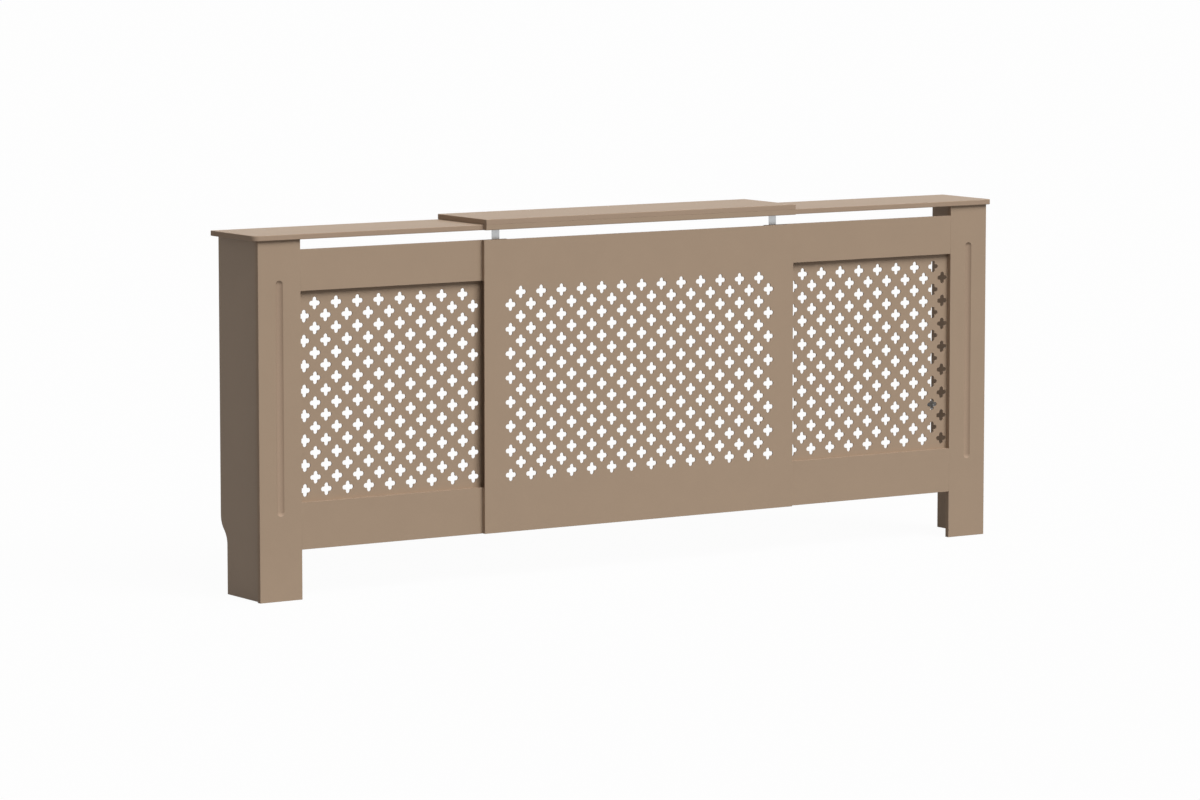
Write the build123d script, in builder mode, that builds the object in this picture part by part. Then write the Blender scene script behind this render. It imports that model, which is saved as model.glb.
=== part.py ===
from build123d import *
import os

# An extending radiator cover in fibreboard. Each end unit is a grooved post, a side panel, two
# rails, a perforated grille and an end top. Both end units slide behind a perforated centre panel,
# and a loose centre top bridges the two end tops, hooked over their front edges by its lip.
#
# X runs along the wall, -Y faces the room, +Y faces the wall and +Z is up. The origin is on the
# floor, in the middle of the outline. Lengths are millimetres, drawn with both ends pulled right out.

# Whole cover
cover_length = 2042.0  # over the two end tops
cabinet_depth = 190.0  # from the faces of the posts back to the wall
post_height = 804.0  # from the floor to the underside of the end tops
board = 12.0  # thickness of the posts, sides, rails and tops
sheet = 3.0  # thickness of the perforated sheets

# End units
post_width = 107.5
side_inset = 7.0  # side panel stands back from the outer edge of the post
rail_floor_gap = 112.0
bottom_rail_height = 105.0
top_rail_height = 91.8
outlet_height = 23.4  # open slot between the top rails and the tops
rail_overlap = 70.5  # how far the rails reach behind the centre panel
closing_gap = 16.0  # left between the rails when both ends are pushed right in

# Routed groove in each post
groove_radius = 12.0
groove_depth = 4.5
groove_base = 190.0
groove_head = 714.5

# Cut-out for the skirting board at the back of each side panel
notch_depth = 29.0
notch_straight = 112.0
notch_height = 177.0

# Tops
top_end_overhang = 12.5  # past the outer edges of the posts
top_front_overhang = 7.5  # past the faces of the posts
top_corner_radius = 15.0
edge_round = 1.5
top_clearance = 0.4  # under the centre top, where it slides
lip_clearance = 0.5  # behind its lip

# Centre panel
centre_length = 857.0
batten_thickness = 7.0
stile_width = 28.0
stile_inset = 18.0  # from the ends of the panel, out of sight from the front
stile_depth = 13.6  # the stiles stand back into the recess between the rails
stile_gap = 1.0  # above and below them
panel_clearance = 0.5  # between the battens and the rails behind them

# Quatrefoil holes: four lobes around a middle hole, in columns that step up and down in turn
lobe_radius = 5.4
lobe_offset = 8.8
middle_radius = 8.6
column_pitch = 27.54
row_pitch = 55.6
first_row = 25.3  # lowest hole centres above the bottom rail
first_column = 15.7  # first hole centres past the post
hole_web = 8.0  # least sheet between a hole and the top rail
grille_plain_end = 30.0  # least sheet between a hole and the free end of a grille
grille_lap = 25.0  # grille over the backs of the rails and the post
grille_end_gap = 30.5  # grille stops short of the free ends of the rails

# Slide bolts, washers and wing nuts
bolt_diameter = 6.0
bolt_head_diameter = 12.0
bolt_head_height = 3.0
bolt_head_round = 1.5
bolt_edge_distance = 18.0  # from the end of the centre panel
bolt_tail = 4.0  # thread showing behind the wing nut
bolt_tail_chamfer = 0.75
slot_fit = 0.5  # around the bolt in its slot
head_fit = 1.0  # around the bolt head in its rebate
head_gap = 0.3  # before and behind the bolt head
bore_fit = 0.3  # around the bolt in rails, washers and wing nuts
washer_diameter = 18.0
washer_thickness = 1.6
nut_gap = 0.3  # between the washer and the wing nut
nut_hub_diameter = 12.0
nut_hub_height = 7.0
nut_hub_taper = 8.0  # degrees
wing_reach = 16.0
wing_top = 13.0  # above the seat of the nut
wing_root = 2.5
wing_tip_width = 6.0
wing_tip_round = 2.0
wing_thickness = 2.4

# Angle brackets and wall plates, bent from one strip of steel
bracket_leg = 40.0
bracket_width = 20.0
bracket_thickness = 2.0
bracket_bend_radius = 1.6
bracket_holes = (14.0, 30.0)  # from the bend
rail_bracket_from_end = 26.0
post_bracket_from_edge = 32.0
side_bracket_front = 40.0  # behind the post
side_bracket_back = 75.0  # in front of the wall
wall_plate_heights = (300.0, 700.0)
wall_hole_diameter = 5.5
wall_hole_reach = 26.0  # from the side panel

# Screws, dowels and the glued corner batten
screw_head_diameter = 7.0
screw_head_height = 2.2
screw_head_round = 1.2
screw_diameter = 3.5
screw_length = 12.0
pilot_fit = 0.1
tip_gap = 0.5
grille_screw_edge = 12.0  # from the edge of the sheet
grille_rail_screws = 4
grille_post_screws = 3
dowel_diameter = 6.0
dowel_length = 30.0
dowel_inset = 24.0  # from the edges of the rails
lip_dowel_diameter = 5.0
lip_dowel_length = 14.0
lip_dowel_inset = 60.0
lip_dowel_count = 5
corner_batten = 18.0
corner_batten_gap = 60.0  # clear of the floor and of the end top

# Depths, from the room to the wall
front_reach = top_front_overhang + lip_clearance + board
total_depth = front_reach + cabinet_depth
wall_y = total_depth / 2
face_y = wall_y - cabinet_depth
back_y = face_y + board
grille_back_y = back_y + sheet
top_front_y = face_y - top_front_overhang
lip_front_y = -total_depth / 2
batten_back_y = face_y - panel_clearance
batten_front_y = batten_back_y - batten_thickness
nut_seat_y = back_y + washer_thickness + nut_gap
bolt_tail_y = nut_seat_y + nut_hub_height + bolt_tail

# Heights
rail_top_z = post_height - outlet_height
top_rail_z = rail_top_z - top_rail_height
bottom_rail_top_z = rail_floor_gap + bottom_rail_height
centre_top_z = post_height + board + top_clearance
upper_bolt_z = top_rail_z + top_rail_height / 2
lower_bolt_z = rail_floor_gap + bottom_rail_height / 2

# Lengths along the left end unit; the right one is its mirror image
top_outer_x = -cover_length / 2
post_outer_x = top_outer_x + top_end_overhang
post_inner_x = post_outer_x + post_width
post_middle_x = post_outer_x + post_width / 2
side_outer_x = post_outer_x + side_inset
side_inner_x = side_outer_x + board
panel_end_x = -centre_length / 2
rail_end_x = panel_end_x + rail_overlap
grille_start_x = post_inner_x - grille_lap
grille_end_x = rail_end_x - grille_end_gap
bolt_x = panel_end_x + bolt_edge_distance
travel = -rail_end_x - closing_gap / 2

# Hole field: half rows, counted up from the lowest holes to the highest that the recess takes
hole_reach = lobe_offset + lobe_radius
half_row = row_pitch / 2
lowest_hole_z = bottom_rail_top_z + first_row
half_rows = int((top_rail_z - hole_web - hole_reach - lowest_hole_z) / half_row) + 1
low_rows = (half_rows + 1) // 2
high_rows = half_rows // 2
low_rows_z = lowest_hole_z + (low_rows - 1) * half_row
high_rows_z = lowest_hole_z + high_rows * half_row

TO_WALL = Vector(0, 1, 0)
INWARD = Vector(1, 0, 0)
DOWN = Vector(0, 0, -1)


def upright(y):
    """Plane facing the room at depth y: its x runs along X and its y runs up."""
    return Plane.XZ.offset(-y)


def spanning(low, high):
    """Rectangle between two corners of the sketch in progress."""
    with Locations(((low[0] + high[0]) / 2, (low[1] + high[1]) / 2)):
        Rectangle(high[0] - low[0], high[1] - low[1])


def drill(seats, diameter, depth):
    """Round holes in the part in progress, sunk from each seat against its normal."""
    with Locations(*seats):
        Cylinder(diameter / 2, depth, align=(Align.CENTER, Align.CENTER, Align.MAX), mode=Mode.SUBTRACT)


def pilots(seats):
    """Holes for the screws that are driven through each seat."""
    drill(seats, screw_diameter + 2 * pilot_fit, screw_length + tip_gap)


def pegs(seats, diameter, length, mode=Mode.ADD):
    """Round pegs, or the holes for them, centred on each seat along its normal."""
    with Locations(*seats):
        Cylinder(diameter / 2, length, mode=mode)


def leg_seats(corner, along, facing, reaches):
    """Screw seats on the inner face of a bracket leg that runs along one axis of its corner."""
    start = corner.origin + facing * bracket_thickness
    return [Plane(start + along * reach, z_dir=facing) for reach in reaches]


def bracket_seats(corner, second_leg_holes=bracket_holes):
    """Screw seats on both legs of an angle bracket."""
    first = leg_seats(corner, corner.x_dir, corner.y_dir, bracket_holes)
    second = leg_seats(corner, corner.y_dir, corner.x_dir, second_leg_holes)
    return first + second


def screws(seats):
    """Pan-head screws, one separate solid at each seat."""
    with BuildPart() as screw:
        Cylinder(screw_diameter / 2, screw_length, align=(Align.CENTER, Align.CENTER, Align.MAX))
        Cylinder(screw_head_diameter / 2, screw_head_height, align=(Align.CENTER, Align.CENTER, Align.MIN))
        fillet(screw.edges().sort_by(Axis.Z)[-1], screw_head_round)
    with BuildPart() as group:
        with Locations(*seats):
            add(screw.part)
    return group.part


def angle_bracket(corner, seats):
    """Strip bent to a right angle, its legs along the corner's x and y, drilled at the seats."""
    outline = [
        (0, 0),
        (bracket_leg, 0),
        (bracket_leg, bracket_thickness),
        (bracket_thickness, bracket_thickness),
        (bracket_thickness, bracket_leg),
        (0, bracket_leg),
    ]
    with BuildPart() as bracket:
        with BuildSketch(corner) as section:
            with BuildLine():
                Polyline(*outline, close=True)
            make_face()
            fillet(section.vertices().sort_by_distance((0, 0, 0))[0], bracket_bend_radius)
        extrude(amount=bracket_width / 2, both=True)
        pilots(seats)
    return bracket.part


def slide_bolt(z):
    """Mushroom-head bolt, its head caught in the guide slot and its tail behind the wing nut."""
    head_front_y = batten_front_y + head_gap
    head_back_y = head_front_y + bolt_head_height
    with BuildPart() as bolt:
        with BuildSketch(upright(head_front_y)):
            with Locations((bolt_x, z)):
                Circle(bolt_head_diameter / 2)
        extrude(amount=-bolt_head_height)
        fillet(bolt.edges().sort_by(Axis.Y)[0], bolt_head_round)
        with BuildSketch(upright(head_back_y)):
            with Locations((bolt_x, z)):
                Circle(bolt_diameter / 2)
        extrude(amount=head_back_y - bolt_tail_y)
        chamfer(bolt.edges().sort_by(Axis.Y)[-1], bolt_tail_chamfer)
    return bolt.part


def wing_nut(z):
    """Wing nut on its bolt: a tapered hub and two wings that rise and spread from it."""
    seat = Plane((bolt_x, nut_seat_y, z), x_dir=(1, 0, 0), z_dir=(0, 1, 0))
    wing_plane = Plane((bolt_x, nut_seat_y, z), x_dir=(1, 0, 0), z_dir=(0, 0, 1))
    wing_inner = bolt_diameter / 2 + bore_fit
    outline = [
        (wing_inner, wing_root),
        (wing_reach - wing_tip_width, wing_root),
        (wing_reach, wing_top - wing_tip_width),
        (wing_reach, wing_top),
        (wing_reach - wing_tip_width, wing_top),
        (wing_inner, nut_hub_height),
    ]
    with BuildPart() as nut:
        with BuildSketch(seat):
            Circle(nut_hub_diameter / 2)
        extrude(amount=nut_hub_height, taper=nut_hub_taper)
        with BuildSketch(wing_plane) as wings:
            with BuildLine():
                Polyline(*outline, close=True)
            make_face()
            fillet(wings.vertices().group_by(Axis.X)[-1], wing_tip_round)
            mirror(about=Plane.YZ)
        extrude(amount=wing_thickness / 2, both=True)
        with BuildSketch(seat):
            Circle(bolt_diameter / 2 + bore_fit)
        extrude(amount=wing_top, mode=Mode.SUBTRACT)
    return nut.part


def mirrored(piece):
    """The same piece for the right end unit."""
    with BuildPart() as twin:
        mirror(piece, about=Plane.YZ)
    return twin.part


# One quatrefoil hole, drawn around the origin
with BuildSketch() as quatrefoil:
    Circle(middle_radius)
    with PolarLocations(lobe_offset, 4):
        Circle(lobe_radius)


def hole_field(low_middle_x, low_columns, high_middle_x, high_columns):
    """Staggered quatrefoil holes cut from the sketch in progress: low columns between high ones."""
    fields = [
        (low_middle_x, low_rows_z, low_columns, low_rows),
        (high_middle_x, high_rows_z, high_columns, high_rows),
    ]
    for middle_x, middle_z, columns, rows in fields:
        with Locations((middle_x, middle_z)):
            with GridLocations(2 * column_pitch, row_pitch, columns, rows):
                add(quatrefoil.sketch, mode=Mode.SUBTRACT)


# Seats shared by the pieces of the left end unit -------------------------------------------------

bolt_seats = [Plane((bolt_x, back_y, z), z_dir=TO_WALL) for z in (upper_bolt_z, lower_bolt_z)]

# Dowels across the joints between the post and the rails
top_dowel_z = (top_rail_z + dowel_inset, rail_top_z - dowel_inset)
bottom_dowel_z = (rail_floor_gap + dowel_inset, bottom_rail_top_z - dowel_inset)
dowel_y = face_y + board / 2
top_dowel_seats = [Plane((post_inner_x, dowel_y, z), z_dir=INWARD) for z in top_dowel_z]
bottom_dowel_seats = [Plane((post_inner_x, dowel_y, z), z_dir=INWARD) for z in bottom_dowel_z]
dowel_hole = dowel_diameter + 2 * pilot_fit

# Grille screws: rows along both rails, and a column down the post
grille_base_z = bottom_rail_top_z - grille_lap
grille_head_z = top_rail_z + grille_lap
screw_run = grille_end_x - grille_screw_edge - (post_inner_x + dowel_length)
rail_screw_x = [
    grille_end_x - grille_screw_edge - screw_run * step / (grille_rail_screws - 1)
    for step in range(grille_rail_screws)
]
post_screw_z = [
    bottom_rail_top_z + (top_rail_z - bottom_rail_top_z) * (step + 1) / (grille_post_screws + 1)
    for step in range(grille_post_screws)
]
top_grille_seats = [
    Plane((x, grille_back_y, grille_head_z - grille_screw_edge), z_dir=TO_WALL) for x in rail_screw_x
]
bottom_grille_seats = [
    Plane((x, grille_back_y, grille_base_z + grille_screw_edge), z_dir=TO_WALL) for x in rail_screw_x
]
post_grille_seats = [
    Plane((grille_start_x + grille_screw_edge, grille_back_y, z), z_dir=TO_WALL) for z in post_screw_z
]
grille_seats = top_grille_seats + bottom_grille_seats + post_grille_seats

# Angle brackets under the end top; each corner plane has one leg along its x, the other along its y
rail_corner, post_corner = (
    Plane((x, back_y, post_height), x_dir=TO_WALL, z_dir=-INWARD)
    for x in (rail_end_x - rail_bracket_from_end, post_inner_x - post_bracket_from_edge)
)
side_corners = [
    Plane((side_inner_x, y, post_height), x_dir=INWARD, z_dir=TO_WALL)
    for y in (back_y + side_bracket_front, wall_y - side_bracket_back)
]
top_corners = [post_corner] + side_corners

# The rail bracket hangs across the open outlet, so only the far hole of that leg takes a screw
rail_bracket_seats = bracket_seats(rail_corner, bracket_holes[-1:])
post_bracket_seats = bracket_seats(post_corner)
side_bracket_seats = [seat for corner in side_corners for seat in bracket_seats(corner)]
top_bracket_seats = post_bracket_seats + side_bracket_seats

# Wall plates: one leg flat against the wall plane, the other screwed to the side panel
plate_corners = [Plane((side_inner_x, wall_y, z), x_dir=INWARD, z_dir=DOWN) for z in wall_plate_heights]
plate_screw_seats = [
    seat
    for corner in plate_corners
    for seat in leg_seats(corner, corner.y_dir, corner.x_dir, bracket_holes)
]
wall_hole_seats = [
    seat
    for corner in plate_corners
    for seat in leg_seats(corner, corner.x_dir, corner.y_dir, (wall_hole_reach,))
]

# Left end unit -----------------------------------------------------------------------------------

# The round-nosed groove is cut by a bar that lies partly in front of the post, with ball ends
groove_half_width = (groove_radius**2 - (groove_radius - groove_depth) ** 2) ** 0.5
groove_axis_y = face_y - (groove_radius - groove_depth)
groove_ends = (groove_base + groove_half_width, groove_head - groove_half_width)

with BuildPart() as left_post:
    with BuildSketch(upright(face_y)):
        spanning((post_outer_x, 0), (post_inner_x, post_height))
    extrude(amount=-board)
    fillet(left_post.edges().filter_by(Axis.Z).group_by(Axis.Y)[0].sort_by(Axis.X)[0], edge_round)
    with Locations((post_middle_x, groove_axis_y, (groove_base + groove_head) / 2)):
        Cylinder(groove_radius, groove_ends[1] - groove_ends[0], mode=Mode.SUBTRACT)
    with Locations(*[(post_middle_x, groove_axis_y, z) for z in groove_ends]):
        Sphere(groove_radius, mode=Mode.SUBTRACT)
    pegs(top_dowel_seats + bottom_dowel_seats, dowel_hole, dowel_length + 2 * tip_gap, Mode.SUBTRACT)
    pilots(post_grille_seats + post_bracket_seats)

# Side panel: the ogee above the skirting is two equal arcs, upright at both ends
notch_y = wall_y - notch_depth
ogee_middle = (wall_y - notch_depth / 2, (notch_straight + notch_height) / 2)
with BuildPart() as left_side_panel:
    with BuildSketch(Plane.YZ.offset(side_outer_x)):
        with BuildLine():
            foot = Polyline((notch_y, notch_straight), (notch_y, 0), (back_y, 0), (back_y, post_height))
            rear = Polyline(foot @ 1, (wall_y, post_height), (wall_y, notch_height))
            lower_arc = TangentArc(foot @ 0, ogee_middle, tangent=(0, 1))
            TangentArc(lower_arc @ 1, rear @ 1, tangent=lower_arc % 1)
        make_face()
    extrude(amount=board)
    pilots(side_bracket_seats + plate_screw_seats)

with BuildPart() as left_corner_batten:
    with BuildSketch(Plane.XY.offset(corner_batten_gap)):
        spanning((side_inner_x, back_y), (side_inner_x + corner_batten, back_y + corner_batten))
    extrude(amount=post_height - 2 * corner_batten_gap)

with BuildPart() as left_top_rail:
    with BuildSketch(upright(face_y)):
        spanning((post_inner_x, top_rail_z), (rail_end_x, rail_top_z))
    extrude(amount=-board)
    pegs(top_dowel_seats, dowel_hole, dowel_length + 2 * tip_gap, Mode.SUBTRACT)
    pilots(top_grille_seats + rail_bracket_seats)
    drill(bolt_seats, bolt_diameter + 2 * bore_fit, board)

with BuildPart() as left_bottom_rail:
    with BuildSketch(upright(face_y)):
        spanning((post_inner_x, rail_floor_gap), (rail_end_x, bottom_rail_top_z))
    extrude(amount=-board)
    pegs(bottom_dowel_seats, dowel_hole, dowel_length + 2 * tip_gap, Mode.SUBTRACT)
    pilots(bottom_grille_seats)
    drill(bolt_seats, bolt_diameter + 2 * bore_fit, board)

with BuildPart() as left_rail_dowels:
    pegs(top_dowel_seats + bottom_dowel_seats, dowel_diameter, dowel_length)

# The end grille starts with a low column beside the post and fills up to its free end
first_hole_x = post_inner_x + first_column
end_columns = int((grille_end_x - grille_plain_end - hole_reach - first_hole_x) / column_pitch) + 1
end_low_columns = (end_columns + 1) // 2
end_high_columns = end_columns // 2
with BuildPart() as left_grille:
    with BuildSketch(upright(back_y)):
        spanning((grille_start_x, grille_base_z), (grille_end_x, grille_head_z))
        hole_field(
            first_hole_x + (end_low_columns - 1) * column_pitch,
            end_low_columns,
            first_hole_x + end_high_columns * column_pitch,
            end_high_columns,
        )
        with Locations(*[(seat.origin.X, seat.origin.Z) for seat in grille_seats]):
            Circle(screw_diameter / 2 + pilot_fit, mode=Mode.SUBTRACT)
    extrude(amount=-sheet, clean=False)

left_grille_screws = screws(grille_seats)

with BuildPart() as left_top_board:
    with BuildSketch(Plane.XY.offset(post_height)) as top_outline:
        spanning((top_outer_x, top_front_y), (rail_end_x, wall_y))
        fillet(top_outline.vertices().group_by(Axis.Y)[0].sort_by(Axis.X)[0], top_corner_radius)
    extrude(amount=board)
    top_faces = left_top_board.faces().filter_by(Axis.Z)
    fillet(top_faces.edges(), edge_round)
    pilots(rail_bracket_seats + top_bracket_seats)

left_rail_bracket = angle_bracket(rail_corner, rail_bracket_seats)

top_bracket_bodies = [angle_bracket(corner, bracket_seats(corner)) for corner in top_corners]
with BuildPart() as left_top_brackets:
    add(top_bracket_bodies)

plate_bodies = [angle_bracket(corner, plate_screw_seats) for corner in plate_corners]
with BuildPart() as left_wall_plates:
    add(plate_bodies)
    drill(wall_hole_seats, wall_hole_diameter, bracket_thickness)

left_bracket_screws = screws(rail_bracket_seats + top_bracket_seats + plate_screw_seats)

bolt_bodies = [slide_bolt(z) for z in (upper_bolt_z, lower_bolt_z)]
with BuildPart() as left_slide_bolts:
    add(bolt_bodies)

with BuildPart() as left_slide_washers:
    with BuildSketch(upright(back_y)):
        with Locations((bolt_x, upper_bolt_z), (bolt_x, lower_bolt_z)):
            Circle(washer_diameter / 2)
            Circle(bolt_diameter / 2 + bore_fit, mode=Mode.SUBTRACT)
    extrude(amount=-washer_thickness)

# Centre panel ------------------------------------------------------------------------------------

# Holes fill the sheet between the stiles, symmetric about its middle, which is a high column
outer_column = int((centre_length / 2 - stile_inset - stile_width - hole_reach) / column_pitch)
with BuildPart() as centre_face_sheet:
    with BuildSketch(upright(batten_front_y)):
        spanning((panel_end_x, rail_floor_gap), (-panel_end_x, rail_top_z))
        hole_field(0, 2 * ((outer_column + 1) // 2), 0, 2 * (outer_column // 2) + 1)
    extrude(amount=sheet, clean=False)


def guide_batten(low_z, high_z):
    """Batten with two T slots: a slot for the bolts and a wider rebate in front for their heads."""
    slot_middle_x = bolt_x + travel / 2
    slot_z = (low_z + high_z) / 2
    with BuildPart() as batten:
        with BuildSketch(upright(batten_front_y)):
            spanning((panel_end_x, low_z), (-panel_end_x, high_z))
        extrude(amount=-batten_thickness)
        with BuildSketch(upright(batten_front_y)):
            with Locations((slot_middle_x, slot_z), (-slot_middle_x, slot_z)):
                SlotCenterToCenter(travel, bolt_diameter + 2 * slot_fit)
        extrude(amount=-batten_thickness, mode=Mode.SUBTRACT)
        with BuildSketch(upright(batten_front_y)):
            with Locations((slot_middle_x, slot_z), (-slot_middle_x, slot_z)):
                SlotCenterToCenter(travel, bolt_head_diameter + 2 * head_fit)
        extrude(amount=-(bolt_head_height + 2 * head_gap), mode=Mode.SUBTRACT)
    return batten.part


centre_top_batten = guide_batten(top_rail_z, rail_top_z)
centre_bottom_batten = guide_batten(rail_floor_gap, bottom_rail_top_z)

with BuildPart() as centre_left_stile:
    with BuildSketch(upright(batten_front_y)):
        spanning(
            (panel_end_x + stile_inset, bottom_rail_top_z + stile_gap),
            (panel_end_x + stile_inset + stile_width, top_rail_z - stile_gap),
        )
    extrude(amount=-stile_depth)

# Centre top --------------------------------------------------------------------------------------

lip_back_y = lip_front_y + board
lip_dowel_step = (centre_length - 2 * lip_dowel_inset) / (lip_dowel_count - 1)
lip_dowel_y = (lip_front_y + lip_back_y) / 2
lip_dowel_seats = [
    Plane((panel_end_x + lip_dowel_inset + step * lip_dowel_step, lip_dowel_y, centre_top_z))
    for step in range(lip_dowel_count)
]
lip_dowel_hole = lip_dowel_diameter + 2 * pilot_fit

with BuildPart() as centre_top_board:
    with BuildSketch(Plane.XY.offset(centre_top_z)):
        spanning((panel_end_x, lip_front_y), (-panel_end_x, wall_y))
    extrude(amount=board)
    fillet(centre_top_board.faces().sort_by(Axis.Z)[-1].edges(), edge_round)
    pegs(lip_dowel_seats, lip_dowel_hole, lip_dowel_length + 2 * tip_gap, Mode.SUBTRACT)

with BuildPart() as centre_top_lip:
    with BuildSketch(Plane.XY.offset(post_height)):
        spanning((panel_end_x, lip_front_y), (-panel_end_x, lip_back_y))
    extrude(amount=centre_top_z - post_height)
    fillet(centre_top_lip.edges().filter_by(Axis.X).group_by(Axis.Z)[0].sort_by(Axis.Y)[0], edge_round)
    pegs(lip_dowel_seats, lip_dowel_hole, lip_dowel_length + 2 * tip_gap, Mode.SUBTRACT)

with BuildPart() as lip_dowels:
    pegs(lip_dowel_seats, lip_dowel_diameter, lip_dowel_length)

# Named pieces ------------------------------------------------------------------------------------

left_pieces = {
    "post": left_post.part,
    "side_panel": left_side_panel.part,
    "corner_batten": left_corner_batten.part,
    "top_rail": left_top_rail.part,
    "bottom_rail": left_bottom_rail.part,
    "rail_dowels": left_rail_dowels.part,
    "grille": left_grille.part,
    "grille_screws": left_grille_screws,
    "top_board": left_top_board.part,
    "rail_bracket": left_rail_bracket,
    "top_brackets": left_top_brackets.part,
    "wall_plates": left_wall_plates.part,
    "bracket_screws": left_bracket_screws,
    "slide_bolts": left_slide_bolts.part,
    "slide_washers": left_slide_washers.part,
    "upper_wing_nut": wing_nut(upper_bolt_z),
    "lower_wing_nut": wing_nut(lower_bolt_z),
}
pieces = {
    "centre_face_sheet": centre_face_sheet.part,
    "centre_top_batten": centre_top_batten,
    "centre_bottom_batten": centre_bottom_batten,
    "centre_left_stile": centre_left_stile.part,
    "centre_right_stile": mirrored(centre_left_stile.part),
    "centre_top_board": centre_top_board.part,
    "centre_top_lip": centre_top_lip.part,
    "lip_dowels": lip_dowels.part,
}
for name, piece in left_pieces.items():
    pieces["left_" + name] = piece
    pieces["right_" + name] = mirrored(piece)

os.makedirs("parts", exist_ok=True)
for name, piece in pieces.items():
    piece.label = name
    export_step(piece, f"parts/{name}.step")

print(f"each end unit slides {travel:.1f} mm, which leaves {cover_length - 2 * travel:.1f} mm over all")
print(f"{len(pieces)} pieces, {end_columns} columns of holes in each grille, {half_rows} half rows")
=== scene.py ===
# %% [markdown]
# # An extending radiator cover in raw fibreboard
#
# The real thing is a long, shallow cabinet that hides a radiator. Two end units, each with a
# grooved post, a side panel, two rails and a pierced sheet, slide behind a pierced centre panel.
# Two end tops and a loose centre top make the shelf.
#
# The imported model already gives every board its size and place, so this lesson is about looks:
# softened edges, crisp pierced sheets, real screws and wing nuts, and materials. Everything is
# in metres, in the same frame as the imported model, and nothing on it is moved.

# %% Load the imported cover
import math

import bmesh
import bpy
from mathutils import Matrix, Vector


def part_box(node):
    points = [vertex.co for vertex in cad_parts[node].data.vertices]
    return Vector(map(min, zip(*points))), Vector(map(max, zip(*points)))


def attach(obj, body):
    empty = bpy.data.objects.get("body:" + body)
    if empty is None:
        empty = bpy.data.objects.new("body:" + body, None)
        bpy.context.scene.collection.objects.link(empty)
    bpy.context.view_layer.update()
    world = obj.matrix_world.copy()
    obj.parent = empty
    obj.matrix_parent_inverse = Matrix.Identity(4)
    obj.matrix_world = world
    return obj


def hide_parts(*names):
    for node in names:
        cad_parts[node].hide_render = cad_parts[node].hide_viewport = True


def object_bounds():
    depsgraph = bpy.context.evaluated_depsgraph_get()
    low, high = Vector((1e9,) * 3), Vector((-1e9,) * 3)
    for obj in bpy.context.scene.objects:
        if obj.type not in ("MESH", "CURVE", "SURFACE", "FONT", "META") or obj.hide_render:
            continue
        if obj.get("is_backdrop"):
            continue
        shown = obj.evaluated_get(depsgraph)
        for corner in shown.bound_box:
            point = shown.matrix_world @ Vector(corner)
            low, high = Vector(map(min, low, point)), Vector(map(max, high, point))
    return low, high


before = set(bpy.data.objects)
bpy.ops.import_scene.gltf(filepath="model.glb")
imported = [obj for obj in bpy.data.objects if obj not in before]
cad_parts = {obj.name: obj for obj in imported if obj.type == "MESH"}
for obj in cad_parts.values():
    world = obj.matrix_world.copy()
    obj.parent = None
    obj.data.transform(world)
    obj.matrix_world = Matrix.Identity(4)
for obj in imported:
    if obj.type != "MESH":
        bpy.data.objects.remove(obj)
cad_low, cad_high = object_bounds()
MM = 0.001
size = [round((high - low) / MM, 1) for low, high in zip(cad_low, cad_high)]
print("the cover measures", size, "mm in", len(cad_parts), "nodes")

# %% [markdown]
# ## A few small helpers
#
# Colours are picked from a picture as sRGB hex codes, but shaders add light up in linear
# values, so one function turns the first into the second. Node trees are built in code, so a
# second function adds one node with its settings and links. The others put an object in the
# scene, turn a bmesh into one, and shade it.


# %% Helpers
def linear(code):
    """Linear colour, with alpha, of an sRGB hex code."""
    channels = [int(code[start : start + 2], 16) / 255 for start in (1, 3, 5)]
    return [c / 12.92 if c <= 0.04045 else ((c + 0.055) / 1.055) ** 2.4 for c in channels] + [1.0]


def add(tree, kind, settings=None, inputs=None):
    """A new node. Inputs, by name or number, are set to a value or linked to a socket."""
    node = tree.nodes.new(kind)
    for key, value in (settings or {}).items():
        setattr(node, key, value)
    for key, value in (inputs or {}).items():
        if isinstance(value, bpy.types.NodeSocket):
            tree.links.new(value, node.inputs[key])
        else:
            node.inputs[key].default_value = value
    return node


def new_material(name):
    """An empty node material and its tree."""
    material = bpy.data.materials.new(name)
    material.use_nodes = True
    material.node_tree.nodes.clear()
    return material, material.node_tree


def in_scene(name, data):
    """A new object in the scene, at the origin."""
    thing = bpy.data.objects.new(name, data)
    bpy.context.scene.collection.objects.link(thing)
    return thing


def from_bmesh(name, mesh):
    """A mesh object made from a bmesh, which is used up."""
    data = bpy.data.meshes.new(name)
    mesh.to_mesh(data)
    mesh.free()
    return in_scene(name, data)


def smooth(piece, sharp):
    """Smooth shading, except over edges that turn by more than that many degrees."""
    piece.data.shade_smooth()
    piece.data.set_sharp_from_angle(angle=math.radians(sharp))


print("the middle of the sRGB scale is", round(linear("#808080")[0], 3), "in linear light")

# %% [markdown]
# ## The photograph's viewpoint
#
# The picture was taken from far away with a long lens: the rails hardly converge. The viewpoint
# was worked out from the cover's own corners, whose real places are known. It lies 11.6 m off,
# to the left of the cover and a little above it. The lens is not shifted, so that the same
# camera also frames the cover well from its other sides.

# %% Camera
EYE = Vector((-6.3587, -9.5836, 1.6847))
TURN = math.radians(33.3435)  # to the right of straight at the wall
DIP = math.radians(6.4585)  # below the horizon
SENSOR = 36.0  # mm, as the lens
LENS = 149.09

camera_data = bpy.data.cameras.new("camera")
camera_data.sensor_width = SENSOR
camera_data.lens = LENS
camera_data.clip_end = 200.0
camera = in_scene("camera", camera_data)
camera.location = EYE
camera.rotation_euler = (math.pi / 2 - DIP, 0, -TURN)
bpy.context.scene.camera = camera
print("the camera stands", round(EYE.length, 2), "m from the cover")

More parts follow.
